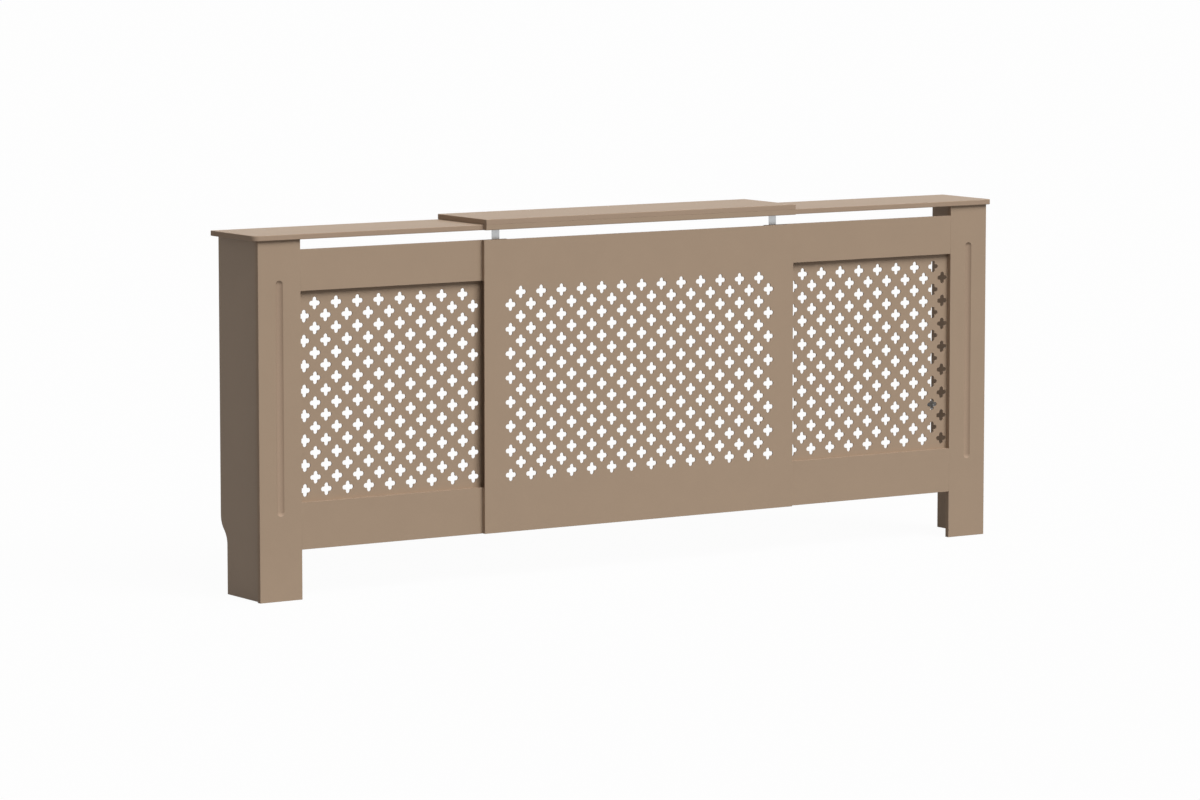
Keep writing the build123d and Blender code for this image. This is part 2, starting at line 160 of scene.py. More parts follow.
# %% [markdown]
# ## Floor, world and two lamps
#
# The picture is a studio shot on white. Three things in it give the light away: the bottom of
# each groove is brighter than the face and its top is dark, so the light comes from above and
# in front; the shadow under each top rail fades over twice its own depth, so the lamp is broad,
# about 40 degrees across; and the end of the cover keeps two fifths of the front's light,
# which sets the level of the light from all around.
#
# A weak second lamp stands low behind the cover. It only grazes the tops in the picture, and it
# keeps the back from going black when the cover is looked at from there.
#
# The camera and mirrors see a white world, but what lights the boards is a dimmer one, and a
# little warmer, as the shaded end of the cover is in the picture. The floor is white to the
# camera too, and keeps a trace of the shadow.


# %% World
def seen_outright(tree):
    """Socket that is 1 to the camera, in mirrors and through glass, and 0 to light on a board."""
    ray = add(tree, "ShaderNodeLightPath").outputs
    seen = ray["Is Camera Ray"]
    for kind in ("Is Glossy Ray", "Is Transmission Ray"):
        either = add(tree, "ShaderNodeMath", {"operation": "MAXIMUM"}, {0: seen, 1: ray[kind]})
        seen = either.outputs[0]
    return seen


AMBIENT = 0.21  # strength of the light from all around
AMBIENT_TINT = linear("#FFF7F3")
WHITE = linear("#FFFFFF")

world = bpy.data.worlds.new("studio")
bpy.context.scene.world = world
world.use_nodes = True
sky = world.node_tree
sky.nodes.clear()
seen = seen_outright(sky)
level = add(sky, "ShaderNodeMapRange", inputs={"Value": seen, "To Min": AMBIENT, "To Max": 1.0})
tint = add(sky, "ShaderNodeMix", {"data_type": "RGBA"}, {0: seen, 6: AMBIENT_TINT, 7: WHITE})
light = add(
    sky, "ShaderNodeBackground", inputs={"Color": tint.outputs[2], "Strength": level.outputs[0]}
)
add(sky, "ShaderNodeOutputWorld", inputs={"Surface": light.outputs[0]})
print("the world lights the cover with", AMBIENT, "of its white")

# %% Lamps
LAMPS = {
    # name: (strength, angle across in degrees, direction towards the lamp)
    "softbox": (3.05, 40, (0.15, -0.65, 0.745)),
    "fill_behind": (0.9, 20, (0.35, 0.92, 0.16)),
}
for name, (strength, across, towards) in LAMPS.items():
    lamp_data = bpy.data.lights.new(name, "SUN")
    lamp_data.energy = strength
    lamp_data.angle = math.radians(across)
    lamp = in_scene(name, lamp_data)
    lamp.rotation_euler = Vector(towards).to_track_quat("Z", "Y").to_euler()
    lamp.visible_glossy = name == "softbox"  # the fill would glare on the tops
print(len(LAMPS), "lamps")

# %% Floor
FLOOR_REACH = 90  # metres each way
FLOOR_PAINT = linear("#888888")
FLOOR_GLOW = 1.07  # over 1, to come out white with the trace of the dimmer painted floor
GLOW_SHARE = 0.9

floor_mesh = bpy.data.meshes.new("floor")
corners = [(-1, -1), (1, -1), (1, 1), (-1, 1)]
floor_mesh.from_pydata(
    [(x * FLOOR_REACH, y * FLOOR_REACH, 0) for x, y in corners], [], [(0, 1, 2, 3)]
)
floor = in_scene("floor", floor_mesh)
floor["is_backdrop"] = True

floor_material, tree = new_material("matt white floor")
painted = add(tree, "ShaderNodeBsdfDiffuse", inputs={"Color": FLOOR_PAINT})
glow = add(tree, "ShaderNodeEmission", inputs={"Color": WHITE, "Strength": FLOOR_GLOW})
share = add(
    tree, "ShaderNodeMath", {"operation": "MULTIPLY"}, {0: seen_outright(tree), 1: GLOW_SHARE}
)
look = add(
    tree,
    "ShaderNodeMixShader",
    inputs={0: share.outputs[0], 1: painted.outputs[0], 2: glow.outputs[0]},
)
add(tree, "ShaderNodeOutputMaterial", inputs={"Surface": look.outputs[0]})
floor_mesh.materials.append(floor_material)
bpy.context.scene.view_settings.view_transform = "Standard"
print("the floor glows at", GLOW_SHARE * FLOOR_GLOW, "to the camera")

# %% [markdown]
# ## Raw fibreboard
#
# Medium-density fibreboard is wood fibre pressed with resin. Its faces come off the sanding belt
# as a smooth, dense skin of one even colour, with fibres a millimetre or two long that only
# show close up. Half a millimetre below the skin the core is looser: a sawn edge or a routed
# groove is a little duller, and its fibres lie in layers.
#
# So the material asks how deep a point lies in the thickness of its board. That comes from the
# object's own coordinates, along the axis across the board, from one face to the other. The
# fibres are drawn about twice as coarse as they are, or nothing of them would show.

# %% Skin and core
SKIN_DEPTH = 0.25 * MM  # here the skin begins to change
CORE_DEPTH = 1.1 * MM  # and from here on it is all core


def core_of_board(tree, place, node, axis):
    """Socket that is 0 on the faces of a packed board and 1 in its core."""
    near, far = sorted(abs(corner[axis]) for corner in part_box(node))
    apart = add(tree, "ShaderNodeSeparateXYZ", inputs={0: place})
    along = add(tree, "ShaderNodeMath", {"operation": "ABSOLUTE"}, {0: apart.outputs[axis]})
    front = add(tree, "ShaderNodeMath", {"operation": "SUBTRACT"}, {0: along.outputs[0], 1: near})
    back = add(tree, "ShaderNodeMath", {"operation": "SUBTRACT"}, {0: far, 1: along.outputs[0]})
    depth = add(
        tree, "ShaderNodeMath", {"operation": "MINIMUM"}, {0: front.outputs[0], 1: back.outputs[0]}
    )
    core = add(
        tree,
        "ShaderNodeMapRange",
        {"interpolation_type": "SMOOTHSTEP"},
        {"Value": depth.outputs[0], "From Min": SKIN_DEPTH, "From Max": CORE_DEPTH},
    )
    return core.outputs[0]


print("the core begins", round(SKIN_DEPTH / MM, 2), "to", round(CORE_DEPTH / MM, 2), "mm deep")

# %% Fibres and clouds
FIBRE = 1.6 * MM
LAYER = 0.35 * MM  # fibres lie flat, so they repeat faster through the thickness
MOTTLE = 70 * MM  # faint cloudiness over a whole board
NOISE_LOW = 0.3  # nearly all values of a noise texture lie between these two
NOISE_HIGH = 0.7


def pressed_fibres(tree, place, axis):
    """Noise drawn as fibres that lie flat in a board with its thickness along an axis."""
    squeeze = [1.0, 1.0, 1.0]
    squeeze[axis] = FIBRE / LAYER
    layered = add(tree, "ShaderNodeVectorMath", {"operation": "MULTIPLY"}, {0: place, 1: squeeze})
    fibres = add(
        tree,
        "ShaderNodeTexNoise",
        inputs={
            "Vector": layered.outputs[0],
            "Scale": 1 / FIBRE,
            "Detail": 4.0,
            "Roughness": 0.7,
            "Distortion": 1.5,
        },
    )
    return fibres.outputs[0]


def shade_by(tree, noise, dark, pale):
    """Socket with the share of light that a noise leaves, from dark to pale."""
    span = {"From Min": NOISE_LOW, "From Max": NOISE_HIGH, "To Min": dark, "To Max": pale}
    return add(tree, "ShaderNodeMapRange", inputs={"Value": noise, **span}).outputs[0]


print("fibres are", round(FIBRE / MM, 2), "mm and their layers", round(LAYER / MM, 2), "mm apart")

# %% Fibreboard
SKIN = linear("#A48E78")
CORE = linear("#A7907B")
RELIEF = 0.03 * MM  # how far fibres stand out
BOARD_IOR = 1.45


def fibreboard(name, node, axis):
    """Sanded board, its thickness along axis 0, 1 or 2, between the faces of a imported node."""
    material, tree = new_material(name)
    place = add(tree, "ShaderNodeTexCoord").outputs["Object"]
    core = core_of_board(tree, place, node, axis)
    fibres = pressed_fibres(tree, place, axis)
    clouds = add(
        tree,
        "ShaderNodeTexNoise",
        inputs={"Vector": place, "Scale": 1 / MOTTLE, "Detail": 3.0, "Roughness": 0.6},
    )
    of_skin = shade_by(tree, fibres, 0.965, 1.035)
    of_core = shade_by(tree, fibres, 0.87, 1.1)
    of_clouds = shade_by(tree, clouds.outputs[0], 0.985, 1.015)
    shade = add(tree, "ShaderNodeMix", {"data_type": "FLOAT"}, {0: core, 2: of_skin, 3: of_core})
    both = add(
        tree, "ShaderNodeMath", {"operation": "MULTIPLY"}, {0: shade.outputs[0], 1: of_clouds}
    )
    plain = add(tree, "ShaderNodeMix", {"data_type": "RGBA"}, {0: core, 6: SKIN, 7: CORE})
    colour = add(
        tree,
        "ShaderNodeVectorMath",
        {"operation": "SCALE"},
        {0: plain.outputs[2], "Scale": both.outputs[0]},
    )
    dull = add(tree, "ShaderNodeMapRange", inputs={"Value": core, "To Min": 0.56, "To Max": 0.8})
    fuzz = add(tree, "ShaderNodeMapRange", inputs={"Value": core, "To Min": 0.25, "To Max": 1.0})
    bump = add(
        tree,
        "ShaderNodeBump",
        inputs={"Strength": fuzz.outputs[0], "Distance": RELIEF, "Height": fibres},
    )
    surface = add(
        tree,
        "ShaderNodeBsdfPrincipled",
        inputs={
            "Base Color": colour.outputs[0],
            "Roughness": dull.outputs[0],
            "IOR": BOARD_IOR,
            "Normal": bump.outputs[0],
        },
    )
    add(tree, "ShaderNodeOutputMaterial", inputs={"Surface": surface.outputs[0]})
    return material


print("a face's colour in linear light:", [round(c, 3) for c in SKIN[:3]])

# %% Boards of the cover
upright_board = fibreboard("sanded fibreboard, posts and rails", "left_post", 1)
side_board = fibreboard("sanded fibreboard, side panels", "left_side_panel", 0)
end_top_board = fibreboard("sanded fibreboard, end tops", "left_top_board", 2)
centre_top_board = fibreboard("sanded fibreboard, centre top", "centre_top_board", 2)
lip_board = fibreboard("sanded fibreboard, lip", "centre_top_lip", 1)
batten_board = fibreboard("sanded fibreboard, battens", "centre_top_batten", 1)
stile_board = fibreboard("sanded fibreboard, stiles", "centre_left_stile", 1)
face_board = fibreboard("sanded thin fibreboard, centre sheet", "centre_face_sheet", 1)
grille_board = fibreboard("sanded thin fibreboard, end grilles", "left_grille", 1)
print(len(bpy.data.materials), "materials so far")

# %% [markdown]
# ## Zinc, pine and beech
#
# Brackets, screws, bolts and wing nuts are mild steel with a bright zinc plate: a bluish metal
# with a fine, cloudy crystal pattern that blurs what it mirrors. The corner battens are planed
# pine, with growth rings that run up the batten, and the dowels are turned beech, which is even
# in colour with short dark flecks.

# %% Zinc plate
CRYSTAL = 2.5 * MM
CLOUD = 8 * MM

zinc, tree = new_material("bright zinc plated steel")
place = add(tree, "ShaderNodeTexCoord").outputs["Object"]
crystals = add(tree, "ShaderNodeTexVoronoi", inputs={"Vector": place, "Scale": 1 / CRYSTAL})
cloud = add(tree, "ShaderNodeTexNoise", inputs={"Vector": place, "Scale": 1 / CLOUD, "Detail": 4.0})
mixed = add(
    tree,
    "ShaderNodeMix",
    {"data_type": "FLOAT"},
    {0: 0.6, 2: crystals.outputs["Color"], 3: cloud.outputs[0]},
).outputs[0]
plate = add(
    tree,
    "ShaderNodeMix",
    {"data_type": "RGBA"},
    {0: mixed, 6: linear("#B7B9BB"), 7: linear("#CDCFD0")},
)
blur = add(tree, "ShaderNodeMapRange", inputs={"Value": mixed, "To Min": 0.26, "To Max": 0.42})
metal = add(
    tree,
    "ShaderNodeBsdfPrincipled",
    inputs={"Base Color": plate.outputs[2], "Metallic": 1.0, "Roughness": blur.outputs[0]},
)
add(tree, "ShaderNodeOutputMaterial", inputs={"Surface": metal.outputs[0]})
print(zinc.name, "has", len(tree.nodes), "nodes")

# %% Pine and beech
FLECK = 1.2 * MM
WAVE_APART = 0.3  # metres between the rings of a wave texture, at a scale of 1


def timber(name, pale, dark, ring, run, distortion):
    """Solid wood with rings that many metres apart, drawn out where the run is small."""
    material, tree = new_material(name)
    place = add(tree, "ShaderNodeTexCoord").outputs["Object"]
    drawn = add(tree, "ShaderNodeVectorMath", {"operation": "MULTIPLY"}, {0: place, 1: run})
    rings = add(
        tree,
        "ShaderNodeTexWave",
        {"wave_type": "RINGS", "rings_direction": "SPHERICAL"},
        {
            "Vector": drawn.outputs[0],
            "Scale": WAVE_APART / ring,
            "Distortion": distortion,
            "Detail": 3.0,
        },
    )
    flecks = add(
        tree,
        "ShaderNodeTexNoise",
        inputs={"Vector": drawn.outputs[0], "Scale": 1 / FLECK, "Detail": 3.0},
    )
    tone = add(
        tree,
        "ShaderNodeMix",
        {"data_type": "FLOAT"},
        {0: 0.35, 2: rings.outputs["Fac"], 3: flecks.outputs[0]},
    ).outputs[0]
    colour = add(
        tree, "ShaderNodeMix", {"data_type": "RGBA"}, {0: tone, 6: linear(pale), 7: linear(dark)}
    )
    bump = add(tree, "ShaderNodeBump", inputs={"Strength": 0.2, "Distance": RELIEF, "Height": tone})
    surface = add(
        tree,
        "ShaderNodeBsdfPrincipled",
        inputs={"Base Color": colour.outputs[2], "Roughness": 0.6, "Normal": bump.outputs[0]},
    )
    add(tree, "ShaderNodeOutputMaterial", inputs={"Surface": surface.outputs[0]})
    return material


pine = timber("planed pine", "#D8BE96", "#C7A678", 3 * MM, (1.0, 0.8, 0.04), 4.0)
beech = timber("turned beech", "#D8B48C", "#C09468", 2 * MM, (0.08, 1.0, 1.0), 1.0)
print("two woods:", pine.name, "and", beech.name)

# %% [markdown]
# ## Edges that a hand has softened
#
# A sawn board never keeps a razor edge: a wipe of sandpaper leaves a tiny round that catches the
# light, and it is what makes a flat panel read as a board. The imported boards are sharp, so each
# one is copied, its loose triangles are merged into whole faces, and its sharp edges are marked
# for a Bevel modifier. Only the rounds and the curved faces shade smoothly. The big faces stay
# flat, or their shading would bend towards every corner. Small drilled holes stay sharp.
#
# The copy then stands in for the imported board, which is hidden. The copy then stands for the
# imported board, which keeps its work as the shape that things bump into. Brackets and plates get
# the same treatment, with a finer round, as sheared steel has.


# %% Finished pieces
def finish_piece(piece, body, slot, *nodes):
    """Puts a finished piece on its body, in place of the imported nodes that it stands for."""
    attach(piece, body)
    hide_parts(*nodes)


def made_plain(piece, name):
    """The piece with its modifiers worked out, as a plain mesh object at the origin."""
    bpy.context.view_layer.update()
    evaluated = piece.evaluated_get(bpy.context.evaluated_depsgraph_get())
    data = bpy.data.meshes.new_from_object(evaluated)
    data.name = name
    bpy.data.objects.remove(piece)
    return in_scene(name, data)


# %% Which edges to ease
SAME_POINT = 0.001 * MM
SAME_PLANE = math.radians(0.5)
LEAST_TURN = math.radians(0.6)  # an edge between strips of one curved face turns by more
CURVE_TURN = math.radians(30)  # but by less than this
EDGE_TURN = math.radians(35)  # an edge that is eased turns by more
HOLE_STEP = 5 * MM  # the edges around a drilled hole are shorter than this
CURVED_STRIP = 3.5 * MM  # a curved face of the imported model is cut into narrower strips
BEVELLED = 1  # the material slot that marks the faces of the rounds


def marked_copy(node, material):
    """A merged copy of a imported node, and how many of its edges are marked for easing."""
    mesh = bmesh.new()
    mesh.from_mesh(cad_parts[node].data)
    bmesh.ops.remove_doubles(mesh, verts=mesh.verts, dist=SAME_POINT)
    bmesh.ops.dissolve_limit(mesh, angle_limit=SAME_PLANE, verts=mesh.verts, edges=mesh.edges)
    weight = mesh.edges.layers.float.new("bevel_weight_edge")
    front = min(vertex.co.y for vertex in mesh.verts) + 10 * SAME_POINT
    marked = 0
    for edge in mesh.edges:
        turn = edge.calc_face_angle(0)
        in_front = all(vertex.co.y < front for vertex in edge.verts)
        if turn > EDGE_TURN and (edge.calc_length() > HOLE_STEP or in_front):
            edge[weight] = 1.0
            marked += 1
        elif turn > CURVE_TURN:
            edge.smooth = False
    for face in mesh.faces:
        width = face.calc_area() / max(edge.calc_length() for edge in face.edges)
        turns = [edge.calc_face_angle(0) for edge in face.edges]
        bends = any(LEAST_TURN < turn < CURVE_TURN for turn in turns)
        face.smooth = bends and width < CURVED_STRIP
    rough = from_bmesh(node, mesh)
    rough.data.materials.clear()
    rough.data.materials.append(material)
    rough.data.materials.append(material)
    return rough, marked


# %% Easing
def eased(node, body, slot, material, radius):
    """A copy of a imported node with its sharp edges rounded, except those of drilled holes."""
    rough, marked = marked_copy(node, material)
    bevel = rough.modifiers.new("ease", "BEVEL")
    bevel.limit_method = "WEIGHT"
    bevel.width = radius
    bevel.segments = 3
    bevel.use_clamp_overlap = False
    bevel.material = BEVELLED
    piece = made_plain(rough, node + "_eased")
    for face in piece.data.polygons:
        if face.material_index == BEVELLED:
            face.use_smooth = True
            face.material_index = 0
    piece.data.materials.pop(index=BEVELLED)
    finish_piece(piece, body, slot, node)
    print(node, "has", marked, "eased edges and", len(piece.data.polygons), "faces")


# %% Eased boards and brackets
BOARD_EASE = 0.5 * MM
STEEL_EASE = 0.25 * MM
for side in ("left", "right"):
    for part, material in (
        ("post", upright_board),
        ("top_rail", upright_board),
        ("bottom_rail", upright_board),
        ("side_panel", side_board),
        ("top_board", end_top_board),
    ):
        eased(f"{side}_{part}", f"{side}_end", "fibreboard", material, BOARD_EASE)
    eased(f"{side}_corner_batten", f"{side}_end", "softwood", pine, BOARD_EASE)
    for part in ("rail_bracket", "top_brackets", "wall_plates"):
        eased(f"{side}_{part}", f"{side}_end", "zinc_plated_steel", zinc, STEEL_EASE)
    eased(f"centre_{side}_stile", "centre_panel", "fibreboard", stile_board, BOARD_EASE)
eased("centre_top_batten", "centre_panel", "fibreboard", batten_board, BOARD_EASE)
eased("centre_bottom_batten", "centre_panel", "fibreboard", batten_board, BOARD_EASE)
eased("centre_top_board", "centre_top", "fibreboard", centre_top_board, BOARD_EASE)
eased("centre_top_lip", "centre_top", "fibreboard", lip_board, BOARD_EASE)

# %% [markdown]
# ## Pierced sheets
#
# The centre panel and the two grilles are 3 mm fibreboard with rows of quatrefoil holes, milled
# with crisp edges that a sander has barely touched. Hundreds of equal holes are a job for
# Geometry Nodes: a grid gives each hole its place, and one small mesh, the wall of a hole, is
# instanced there. The open ends of the walls and the sheet's own edge then bound a flat fill,
# in front and behind. This leaves no sliver of a face, as cutting with solids would.
#
# The holes stand in two fields, low columns between high ones, half a row apart. The tree works
# in its own flat plane and stands the sheet up at the end.

# %% Outline of a hole
LOBE_RADIUS = 5.4 * MM
LOBE_OFFSET = 8.8 * MM  # from the middle of a hole
MIDDLE_RADIUS = 8.6 * MM
LOBE_STEPS = 11


def quatrefoil():
    """Outline of a hole: four lobes, with a point of a middle circle between each two."""
    along = (MIDDLE_RADIUS**2 - LOBE_RADIUS**2 + LOBE_OFFSET**2) / (2 * LOBE_OFFSET)
    sweep = math.atan2(math.sqrt(MIDDLE_RADIUS**2 - along**2), along - LOBE_OFFSET)
    angles = [sweep * (2 * step / LOBE_STEPS - 1) for step in range(LOBE_STEPS + 1)]
    quarter = [
        Vector((LOBE_OFFSET + LOBE_RADIUS * math.cos(a), LOBE_RADIUS * math.sin(a), 0))
        for a in angles
    ]
    quarter.append(Vector((MIDDLE_RADIUS, MIDDLE_RADIUS, 0)) * math.sqrt(0.5))
    turns = [Matrix.Rotation(math.pi / 2 * number, 3, "Z") for number in range(4)]
    return [turn @ point for turn in turns for point in quarter]


print("a hole has", len(quatrefoil()), "points around it")


# %% Walls
def wall(name, rings, inwards):
    """A wall through rings of points, from the top down, that faces inwards or outwards."""
    count = len(rings[0])
    faces = []
    for ring in range(len(rings) - 1):
        for number in range(count):
            after = (number + 1) % count
            face = [ring * count + number, (ring + 1) * count + number]
            face += [(ring + 1) * count + after, ring * count + after]
            faces.append(face[::-1] if inwards else face)
    data = bpy.data.meshes.new(name)
    data.from_pydata([point for ring in rings for point in ring], [], faces)
    return in_scene(name, data)


SHEET = 3 * MM
around_front = quatrefoil()
around_back = [point - Vector((0, 0, SHEET)) for point in around_front]
hole_wall = wall("hole_wall", [around_front, around_back], inwards=True)
print("its wall has", len(hole_wall.data.polygons), "faces")


# %% Tree helpers
def new_tree(name, inputs):
    """A geometry node tree with named inputs, and the sockets that give them."""
    tree = bpy.data.node_groups.new(name, "GeometryNodeTree")
    for label, kind in inputs.items():
        tree.interface.new_socket(label, in_out="INPUT", socket_type="NodeSocket" + kind)
    tree.interface.new_socket("Geometry", in_out="OUTPUT", socket_type="NodeSocketGeometry")
    return tree, tree.nodes.new("NodeGroupInput").outputs


def grown(tree, name, values):
    """The plain mesh piece that a tree makes from the values of its inputs."""
    seed = in_scene(name, bpy.data.meshes.new(name))
    modifier = seed.modifiers.new(name, "NODES")
    modifier.node_group = tree
    for socket in tree.interface.items_tree:
        if socket.in_out == "INPUT":
            modifier[socket.identifier] = values[socket.name]
    return made_plain(seed, name)


# %% Walls of a sheet, in nodes
sheet_tree, given = new_tree(
    "pierced sheet",
    {
        "Hole wall": "Object",
        "Sheet edge": "Object",
        "Front": "Float",
        "Thickness": "Float",
        "Column pitch": "Float",
        "Row pitch": "Float",
        "Rows": "Int",
        "Low columns": "Int",
        "Low middle": "Vector",
        "High columns": "Int",
        "High middle": "Vector",
        "Material": "Material",
    },
)
one_hole = add(sheet_tree, "GeometryNodeObjectInfo", inputs={"Object": given["Hole wall"]})
edge_band = add(sheet_tree, "GeometryNodeObjectInfo", inputs={"Object": given["Sheet edge"]})
walls = add(sheet_tree, "GeometryNodeJoinGeometry")
sheet_tree.links.new(edge_band.outputs["Geometry"], walls.inputs[0])
gaps_up = add(sheet_tree, "ShaderNodeMath", {"operation": "SUBTRACT"}, {0: given["Rows"], 1: 1.0})
height = add(
    sheet_tree,
    "ShaderNodeMath",
    {"operation": "MULTIPLY"},
    {0: gaps_up.outputs[0], 1: given["Row pitch"]},
)
stride = add(
    sheet_tree, "ShaderNodeMath", {"operation": "MULTIPLY"}, {0: given["Column pitch"], 1: 2.0}
)
for field in ("Low", "High"):
    columns = given[f"{field} columns"]
    gaps = add(sheet_tree, "ShaderNodeMath", {"operation": "SUBTRACT"}, {0: columns, 1: 1.0})
    width = add(
        sheet_tree,
        "ShaderNodeMath",
        {"operation": "MULTIPLY"},
        {0: gaps.outputs[0], 1: stride.outputs[0]},
    )
    grid = add(
        sheet_tree,
        "GeometryNodeMeshGrid",
        inputs={
            "Size X": width.outputs[0],
            "Size Y": height.outputs[0],
            "Vertices X": columns,
            "Vertices Y": given["Rows"],
        },
    )
    places = add(
        sheet_tree,
        "GeometryNodeSetPosition",
        inputs={"Geometry": grid.outputs["Mesh"], "Offset": given[f"{field} middle"]},
    )
    holes = add(
        sheet_tree,
        "GeometryNodeInstanceOnPoints",
        inputs={"Points": places.outputs[0], "Instance": one_hole.outputs["Geometry"]},
    )
    sheet_tree.links.new(holes.outputs[0], walls.inputs[0])
solid_walls = add(sheet_tree, "GeometryNodeRealizeInstances", inputs={0: walls.outputs[0]})
print("the walls take", len(sheet_tree.nodes), "nodes")

# %% Faces of a sheet, in nodes
whole = add(sheet_tree, "GeometryNodeJoinGeometry")
sheet_tree.links.new(solid_walls.outputs[0], whole.inputs[0])
down = add(
    sheet_tree, "ShaderNodeMath", {"operation": "MULTIPLY"}, {0: given["Thickness"], 1: -1.0}
)
half = add(sheet_tree, "ShaderNodeMath", {"operation": "MULTIPLY"}, {0: down.outputs[0], 1: 0.5})
position = add(sheet_tree, "GeometryNodeInputPosition")
place = add(sheet_tree, "ShaderNodeSeparateXYZ", inputs={0: position.outputs[0]})
faces_beside = add(sheet_tree, "GeometryNodeInputMeshEdgeNeighbors")
is_open = add(
    sheet_tree,
    "FunctionNodeCompare",
    {"data_type": "INT", "operation": "EQUAL"},
    {2: faces_beside.outputs[0], 3: 1},
)
for surface, comparison in (("front", "GREATER_THAN"), ("back", "LESS_THAN")):
    is_there = add(
        sheet_tree,
        "ShaderNodeMath",
        {"operation": comparison},
        {0: place.outputs["Z"], 1: half.outputs[0]},
    )
    rim = add(
        sheet_tree,
        "FunctionNodeBooleanMath",
        {"operation": "AND"},
        {0: is_open.outputs[0], 1: is_there.outputs[0]},
    )
    loops = add(
        sheet_tree,
        "GeometryNodeMeshToCurve",
        inputs={0: solid_walls.outputs[0], "Selection": rim.outputs[0]},
    )
    filled = add(sheet_tree, "GeometryNodeFillCurve", inputs={0: loops.outputs[0]})
    if surface == "back":
        turned_over = add(sheet_tree, "GeometryNodeFlipFaces", inputs={0: filled.outputs[0]})
        move = add(sheet_tree, "ShaderNodeCombineXYZ", inputs={"Z": down.outputs[0]})
        filled = add(
            sheet_tree,
            "GeometryNodeSetPosition",
            inputs={0: turned_over.outputs[0], "Offset": move.outputs[0]},
        )
    sheet_tree.links.new(filled.outputs[0], whole.inputs[0])
print("with its faces the tree has", len(sheet_tree.nodes), "nodes")

# %% A sheet stood up, in nodes
merged = add(
    sheet_tree,
    "GeometryNodeMergeByDistance",
    inputs={0: whole.outputs[0], "Distance": 4 * SAME_POINT},
)
forward = add(sheet_tree, "ShaderNodeCombineXYZ", inputs={"Y": given["Front"]})
upright = add(
    sheet_tree,
    "GeometryNodeTransform",
    inputs={
        0: merged.outputs[0],
        "Translation": forward.outputs[0],
        "Rotation": (math.pi / 2, 0, 0),
    },
)
real = add(sheet_tree, "GeometryNodeRealizeInstances", inputs={0: upright.outputs[0]})
coloured = add(
    sheet_tree,
    "GeometryNodeSetMaterial",
    inputs={0: real.outputs[0], "Material": given["Material"]},
)
add(sheet_tree, "NodeGroupOutput", inputs={0: coloured.outputs[0]})
print("the whole tree has", len(sheet_tree.nodes), "nodes")

# %% The three sheets
SHEET_EASE = 0.3 * MM  # around the front of a whole sheet
COLUMN_PITCH = 27.54 * MM
ROW_PITCH = 55.6 * MM
ROWS = 8
LOW_ROWS_MIDDLE = 436.9 * MM
HIGH_ROWS_MIDDLE = 464.7 * MM
GRILLE_MIDDLE = 664.98 * MM  # of its columns, from the middle of the cover


def pierced_sheet(node, body, material, middle_x, low_columns, high_columns):
    """A packed sheet made again, with its columns of holes spread evenly about middle_x."""
    low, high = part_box(node)
    corners = [(low[0], low[2], 1, 1), (high[0], low[2], -1, 1)]
    corners += [(high[0], high[2], -1, -1), (low[0], high[2], 1, -1)]
    rings = [
        [Vector((x + inset * right, z + inset * up, -depth)) for x, z, right, up in corners]
        for inset, depth in ((SHEET_EASE, 0), (0, SHEET_EASE), (0, SHEET))
    ]
    edge = wall("sheet_edge", rings, inwards=False)
    piece = grown(
        sheet_tree,
        node + "_pierced",
        {
            "Hole wall": hole_wall,
            "Sheet edge": edge,
            "Front": low[1],
            "Thickness": SHEET,
            "Column pitch": COLUMN_PITCH,
            "Row pitch": ROW_PITCH,
            "Rows": ROWS,
            "Low columns": low_columns,
            "Low middle": (middle_x, LOW_ROWS_MIDDLE, 0),
            "High columns": high_columns,
            "High middle": (middle_x, HIGH_ROWS_MIDDLE, 0),
            "Material": material,
        },
    )
    bpy.data.objects.remove(edge)
    smooth(piece, sharp=35)
    finish_piece(piece, body, "hardboard", node)
    count = (low_columns + high_columns) * ROWS
    print(node, "has", count, "holes and", len(piece.data.polygons), "faces")


pierced_sheet("centre_face_sheet", "centre_panel", face_board, 0.0, 14, 13)
pierced_sheet("left_grille", "left_end", grille_board, -GRILLE_MIDDLE, 9, 8)
pierced_sheet("right_grille", "right_end", grille_board, GRILLE_MIDDLE, 9, 8)
bpy.data.objects.remove(hole_wall)

# %% [markdown]
# ## Screws
#
# Pan-head wood screws with a cross recess, stamped from wire and zinc plated, hold the grilles
# and the brackets from behind. One screw is made as a mesh: its profile is turned round the
# axis, and the top of the head is filled around the recess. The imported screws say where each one
# sits and which way it faces. Geometry Nodes put a copy there, each stopped at its own angle,
# as a screwdriver leaves it.

# %% Turned shapes
AROUND = 24  # vertices in each ring of a screw or bolt


def turned(mesh, profile, steps):
    """Rings of vertices turned round the Z axis, joined by faces that point outwards."""
    rings = []
    for radius, height in profile:
        angles = [2 * math.pi * step / steps for step in range(steps)]
        ring = [(radius * math.cos(a), radius * math.sin(a), height) for a in angles]
        rings.append([mesh.verts.new(point) for point in ring])
    for lower, upper in zip(rings, rings[1:]):
        for step in range(steps):
            after = (step + 1) % steps
            mesh.faces.new((lower[step], lower[after], upper[after], upper[step]))
    return rings


def cross(mesh, width, length, height):
    """The twelve vertices of a cross, counter-clockwise."""
    arm = [(length, -width), (length, width), (width, width)]
    turns = [Matrix.Rotation(math.pi / 2 * number, 2) for number in range(4)]
    points = [turn @ Vector(point) for turn in turns for point in arm]
    return [mesh.verts.new((point.x, point.y, height)) for point in points]


def edges_around(mesh, ring):
    """The edges from each vertex of a closed ring to the one before."""
    return [mesh.edges.get((ring[number], ring[number - 1])) for number in range(len(ring))]


# %% One screw
HEAD_RADIUS = 3.5 * MM
HEAD_HEIGHT = 2.2 * MM
SHANK_RADIUS = 1.75 * MM
SHANK_LENGTH = 12 * MM
RECESS_DEPTH = 1.3 * MM


